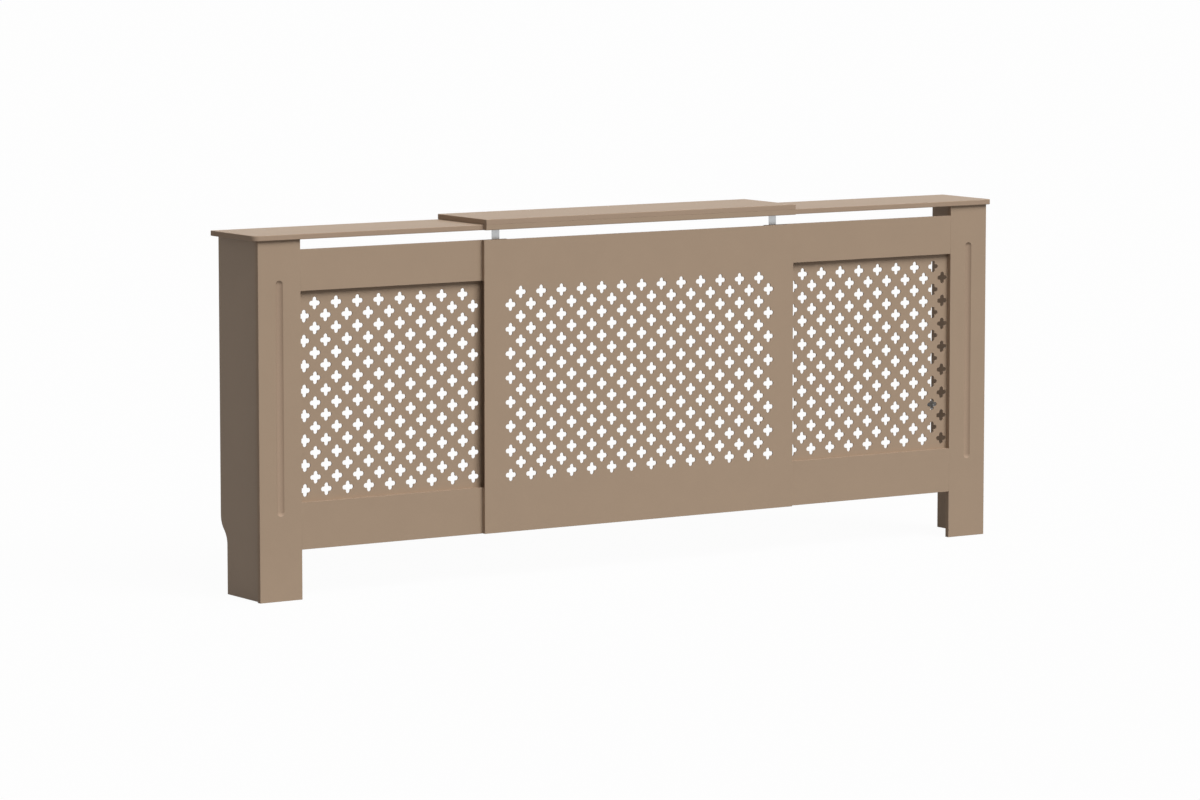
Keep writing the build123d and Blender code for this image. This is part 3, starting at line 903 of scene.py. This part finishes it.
def screw_shape():
    """A pan-head screw on the origin, its head up and its seat at height zero."""
    mesh = bmesh.new()
    profile = [
        (0.15 * MM, -SHANK_LENGTH),
        (SHANK_RADIUS, -0.78 * SHANK_LENGTH),
        (SHANK_RADIUS, 0),
        (HEAD_RADIUS - 0.15 * MM, 0),
        (HEAD_RADIUS, 0.15 * MM),
        (HEAD_RADIUS, 0.45 * HEAD_HEIGHT),
        (0.93 * HEAD_RADIUS, 0.72 * HEAD_HEIGHT),
        (0.8 * HEAD_RADIUS, 0.9 * HEAD_HEIGHT),
        (0.6 * HEAD_RADIUS, HEAD_HEIGHT),
    ]
    rings = turned(mesh, profile, AROUND)
    mesh.faces.new(rings[0][::-1])
    mouth = cross(mesh, 0.36 * MM, 1.65 * MM, HEAD_HEIGHT)
    bottom = cross(mesh, 0.22 * MM, 0.8 * MM, HEAD_HEIGHT - RECESS_DEPTH)
    for number in range(len(mouth)):
        after = (number + 1) % len(mouth)
        mesh.faces.new((mouth[after], mouth[number], bottom[number], bottom[after]))
    mesh.faces.new(bottom)
    bounds = edges_around(mesh, rings[-1]) + edges_around(mesh, mouth)
    fill = bmesh.ops.triangle_fill(mesh, edges=bounds, use_beauty=True, normal=(0, 0, 1))
    for face in fill["geom"]:
        if isinstance(face, bmesh.types.BMFace) and face.normal.z < 0:
            face.normal_flip()
    piece = from_bmesh("screw", mesh)
    smooth(piece, sharp=40)
    return piece


screw = screw_shape()
print("a screw has", len(screw.data.polygons), "faces")


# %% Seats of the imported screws
def solids_of(mesh):
    """The points of each separate solid of a bmesh."""
    unseen = set(mesh.verts)
    while unseen:
        reached = [unseen.pop()]
        for vertex in reached:
            for edge in vertex.link_edges:
                other = edge.other_vert(vertex)
                if other in unseen:
                    unseen.remove(other)
                    reached.append(other)
        yield [vertex.co.copy() for vertex in reached]


def screw_seats(node):
    """Place and facing of each packed screw: every separate solid of a node is one screw."""
    mesh = bmesh.new()
    mesh.from_mesh(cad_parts[node].data)
    bmesh.ops.remove_doubles(mesh, verts=mesh.verts, dist=SAME_POINT)
    seats = []
    for points in solids_of(mesh):
        low = Vector(min(point[k] for point in points) for k in range(3))
        high = Vector(max(point[k] for point in points) for k in range(3))
        middle = (low + high) / 2
        axis = max(range(3), key=lambda k: high[k] - low[k])
        across = [k for k in range(3) if k != axis]
        on_head = [
            point[axis]
            for point in points
            if max(abs(point[k] - middle[k]) for k in across) > 1.2 * SHANK_RADIUS
        ]
        sign = 1 if sum(on_head) / len(on_head) > middle[axis] else -1
        facing = Vector(sign if k == axis else 0 for k in range(3))
        seat = middle.copy()
        seat[axis] = (high if sign > 0 else low)[axis] - sign * HEAD_HEIGHT
        seats.append((seat, facing))
    mesh.free()
    seats.sort(key=lambda seat: tuple(round(c, 4) for c in seat[0]))
    return seats


# %% Screw tree
screw_tree, given = new_tree(
    "driven screws", {"Screw": "Object", "Seats": "Object", "Seed": "Int", "Material": "Material"}
)
one_screw = add(screw_tree, "GeometryNodeObjectInfo", inputs={"Object": given["Screw"]})
seat_points = add(screw_tree, "GeometryNodeObjectInfo", inputs={"Object": given["Seats"]})
facing = add(
    screw_tree,
    "GeometryNodeInputNamedAttribute",
    {"data_type": "FLOAT_VECTOR"},
    {"Name": "facing"},
)
stand = add(
    screw_tree, "FunctionNodeAlignRotationToVector", {"axis": "Z"}, {"Vector": facing.outputs[0]}
)
stop = add(
    screw_tree,
    "FunctionNodeRandomValue",
    {"data_type": "FLOAT"},
    {2: 0.0, 3: math.pi / 2, "Seed": given["Seed"]},
)
stopped = add(
    screw_tree,
    "FunctionNodeAxisAngleToRotation",
    inputs={"Axis": (0, 0, 1), "Angle": stop.outputs[1]},
)
driven = add(
    screw_tree,
    "FunctionNodeRotateRotation",
    {"rotation_space": "LOCAL"},
    {"Rotation": stand.outputs[0], "Rotate By": stopped.outputs[0]},
)
copies = add(
    screw_tree,
    "GeometryNodeInstanceOnPoints",
    inputs={
        "Points": seat_points.outputs["Geometry"],
        "Instance": one_screw.outputs["Geometry"],
        "Rotation": driven.outputs[0],
    },
)
real = add(screw_tree, "GeometryNodeRealizeInstances", inputs={0: copies.outputs[0]})
plated = add(
    screw_tree,
    "GeometryNodeSetMaterial",
    inputs={0: real.outputs[0], "Material": given["Material"]},
)
add(screw_tree, "NodeGroupOutput", inputs={0: plated.outputs[0]})
print("the screw tree has", len(screw_tree.nodes), "nodes")

# %% Drive the screws
SCREW_SEED = 4
for side in ("left", "right"):
    for group in ("grille_screws", "bracket_screws"):
        node = f"{side}_{group}"
        seats = screw_seats(node)
        data = bpy.data.meshes.new("seats")
        data.from_pydata([seat for seat, _ in seats], [], [])
        data.attributes.new("facing", "FLOAT_VECTOR", "POINT")
        for number, (_, direction) in enumerate(seats):
            data.attributes["facing"].data[number].vector = direction
        points = in_scene("seats", data)
        piece = grown(
            screw_tree,
            node + "_driven",
            {"Screw": screw, "Seats": points, "Seed": SCREW_SEED, "Material": zinc},
        )
        bpy.data.objects.remove(points)
        finish_piece(piece, f"{side}_end", "zinc_plated_steel", node)
        print(node, "has", len(seats), "screws and", len(piece.data.polygons), "faces")
bpy.data.objects.remove(screw)

# %% [markdown]
# ## Slide bolts and wing nuts
#
# A mushroom-head bolt hides its head behind the centre sheet and sticks its thread out at the
# back, through the rail and a washer, into a wing nut. The thread is a real one, M6 with a pitch
# of 1 mm: each ring of vertices is pulled in where the groove of the helix passes.
#
# The wing nut is cast: a tapered hub with two ears that rise and spread, all edges round. Hub
# and ears are separate closed shapes, united by a Boolean modifier. Every nut is a piece of its
# own, because it turns on its own body.


# %% Closed shapes
def closed_shape(name, mesh):
    """A mesh object from a bmesh, with its faces turned outwards."""
    bmesh.ops.recalc_face_normals(mesh, faces=mesh.faces)
    return from_bmesh(name, mesh)


def middle_of(node):
    """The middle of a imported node's box."""
    low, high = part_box(node)
    return (Vector(low) + Vector(high)) / 2


# %% Head and thread of a bolt
BOLT_HEAD_RADIUS = 6 * MM
BOLT_HEAD_HEIGHT = 3 * MM
THREAD_RADIUS = 3 * MM
PITCH = 1 * MM
THREAD_DEPTH = 0.55 * MM
RINGS_A_TURN = 6
THREAD_TAIL = 13 * MM  # length of thread
TAIL_CHAMFER = 0.75 * MM


def bolt_rings(length):
    """Radius, distance from the front of the head and depth of the groove, for each ring."""
    start = length - THREAD_TAIL
    rings = [
        (radius * BOLT_HEAD_RADIUS, depth * BOLT_HEAD_HEIGHT, 0)
        for radius, depth in ((0.75, 0), (0.93, 0.14), (1.0, 0.5), (1.0, 1.0))
    ]
    rings += [(THREAD_RADIUS, BOLT_HEAD_HEIGHT, 0), (THREAD_RADIUS, start, 0)]
    for step in range(1, round((THREAD_TAIL - TAIL_CHAMFER) / PITCH * RINGS_A_TURN)):
        rings.append((THREAD_RADIUS, start + step * PITCH / RINGS_A_TURN, THREAD_DEPTH))
    rings.append((THREAD_RADIUS - THREAD_DEPTH, length - TAIL_CHAMFER, 0))
    rings.append((THREAD_RADIUS - TAIL_CHAMFER, length, 0))
    return rings


# %% Slide bolts
def bolt_shape(mesh, x, z, head_y, tail_y):
    """A bolt along Y at x, z: its head's front at head_y, its end at tail_y."""
    made = []
    for radius, depth, groove in bolt_rings(tail_y - head_y):
        ring = []
        for step in range(AROUND):
            turn = step / AROUND
            phase = (depth / PITCH - turn) % 1
            reach = radius - groove * (1 - abs(2 * phase - 1))
            angle = 2 * math.pi * turn
            point = (x + reach * math.cos(angle), head_y + depth, z + reach * math.sin(angle))
            ring.append(mesh.verts.new(point))
        made.append(ring)
    for near, far in zip(made, made[1:]):
        for step in range(AROUND):
            after = (step + 1) % AROUND
            mesh.faces.new((near[step], far[step], far[after], near[after]))
    mesh.faces.new(made[0])
    mesh.faces.new(made[-1][::-1])


for side in ("left", "right"):
    low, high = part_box(f"{side}_slide_bolts")
    mesh = bmesh.new()
    for height in ("upper", "lower"):
        middle = middle_of(f"{side}_{height}_wing_nut")
        bolt_shape(mesh, middle.x, middle.z, low[1], high[1])
    piece = closed_shape(f"{side}_slide_bolts_threaded", mesh)
    piece.data.materials.append(zinc)
    smooth(piece, sharp=35)
    finish_piece(piece, f"{side}_end", "zinc_plated_steel", f"{side}_slide_bolts")
    print(side, "bolts have", len(piece.data.polygons), "faces")

# %% Outline of an ear
EAR = [  # out from the axis and up from the seat, in mm
    (4.0, 1.9),
    (6.0, 2.2),
    (9.0, 2.9),
    (12.2, 4.7),
    (14.8, 7.4),
    (15.9, 10.2),
    (15.3, 12.3),
    (13.7, 12.9),
    (11.9, 12.1),
    (10.3, 10.0),
    (8.2, 7.6),
    (6.0, 6.5),
    (4.0, 6.1),
]
EAR_CUTS = 3


def smooth_loop(points, cuts):
    """A closed smooth curve through the points, with that many steps from one to the next."""
    loop = []
    count = len(points)
    for number in range(count):
        before, here, after, beyond = (Vector(points[(number + k) % count]) for k in (-1, 0, 1, 2))
        for cut in range(cuts):
            t = cut / cuts
            bend = (2 * before - 5 * here + 4 * after - beyond) * t**2
            twist = (3 * here - before - 3 * after + beyond) * t**3
            loop.append((2 * here + (after - before) * t + bend + twist) / 2)
    return loop


print("an ear has", len(smooth_loop(EAR, EAR_CUTS)), "points around it")

# %% Ear of a wing nut
EAR_THICKNESS = 2.4 * MM
EAR_ROUND = 0.9 * MM


def ear(mesh, turn):
    """An ear turned about the hub: layers of its outline, drawn in towards both flat sides."""
    outline = [point * MM for point in smooth_loop(EAR, EAR_CUTS)]
    count = len(outline)
    inwards = []
    for number in range(count):
        along = outline[(number + 1) % count] - outline[number - 1]
        inwards.append(Vector((-along.y, along.x)).normalized())
    layers = []
    for flat_side, angles in ((-1, (90, 60, 30, 0)), (1, (0, 30, 60, 90))):
        for angle in angles:
            inset = EAR_ROUND * (1 - math.cos(math.radians(angle)))
            across = EAR_THICKNESS / 2 - EAR_ROUND * (1 - math.sin(math.radians(angle)))
            points = [point + step * inset for point, step in zip(outline, inwards)]
            spots = [Vector((point.x, flat_side * across, point.y)) for point in points]
            layers.append([mesh.verts.new(turn @ spot) for spot in spots])
    for under, over in zip(layers, layers[1:]):
        for number in range(count):
            after = (number + 1) % count
            mesh.faces.new((under[number], under[after], over[after], over[number]))
    mesh.faces.new(layers[0][::-1])
    mesh.faces.new(layers[-1])


# %% Hub of a wing nut
HUB_RADIUS = 6 * MM
HUB_HEIGHT = 7 * MM
BORE_RADIUS = 3.15 * MM
HUB_AROUND = 32


def hub_shape():
    """The hub of a wing nut, turned about Z with its seat at height zero."""
    mesh = bmesh.new()
    profile = [(BORE_RADIUS, 0), (0.94 * HUB_RADIUS, 0), (HUB_RADIUS, 0.4 * MM)]
    for radius, height in ((0.9, 0.75), (0.84, 0.93), (0.74, 1.0)):
        profile.append((radius * HUB_RADIUS, height * HUB_HEIGHT))
    profile.append((BORE_RADIUS, HUB_HEIGHT))
    rings = turned(mesh, profile, HUB_AROUND)
    top, bottom = rings[-1], rings[0]
    for step in range(HUB_AROUND):
        after = (step + 1) % HUB_AROUND
        mesh.faces.new((top[step], top[after], bottom[after], bottom[step]))
    return closed_shape("hub", mesh)


# %% Wing nuts
def wing_nut(node, body):
    """A cast wing nut in place of a packed one, its seat towards the room."""
    nut = hub_shape()
    for number in range(2):
        mesh = bmesh.new()
        ear(mesh, Matrix.Rotation(math.pi * number, 3, "Z"))
        wing = closed_shape("wing", mesh)
        join = nut.modifiers.new("unite", "BOOLEAN")
        join.operation = "UNION"
        join.solver = "EXACT"
        join.object = wing
        nut = made_plain(nut, "hub")
        bpy.data.objects.remove(wing)
    middle = middle_of(node)
    seat_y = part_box(node)[0][1]
    nut.data.transform(Matrix.Rotation(-math.pi / 2, 4, "X"))
    nut.data.transform(Matrix.Translation((middle.x, seat_y, middle.z)))
    nut.data.materials.clear()
    nut.data.materials.append(zinc)
    for face in nut.data.polygons:
        face.material_index = 0
    smooth(nut, sharp=50)
    nut.name = node + "_cast"
    finish_piece(nut, body, "zinc_plated_steel", node)
    print(node, "has", len(nut.data.polygons), "faces")


for side in ("left", "right"):
    for height in ("upper", "lower"):
        wing_nut(f"{side}_{height}_wing_nut", f"{side}_{height}_nut")

# %% [markdown]
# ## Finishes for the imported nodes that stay
#
# Washers and dowels already have their true shape, so they only get their material.

# %% Carried-over nodes
finishes = {"dowels": beech, "washers": zinc}
for name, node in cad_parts.items():
    if not node.hide_render:
        node.data.materials.clear()
        node.data.materials.append(next(finishes[key] for key in finishes if key in name))
        print(name, "is", node.data.materials[0].name)

# %% Measure and finish
low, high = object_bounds()
print("sizes in mm:", [round((b - a) / MM, 2) for a, b in zip(low, high)])
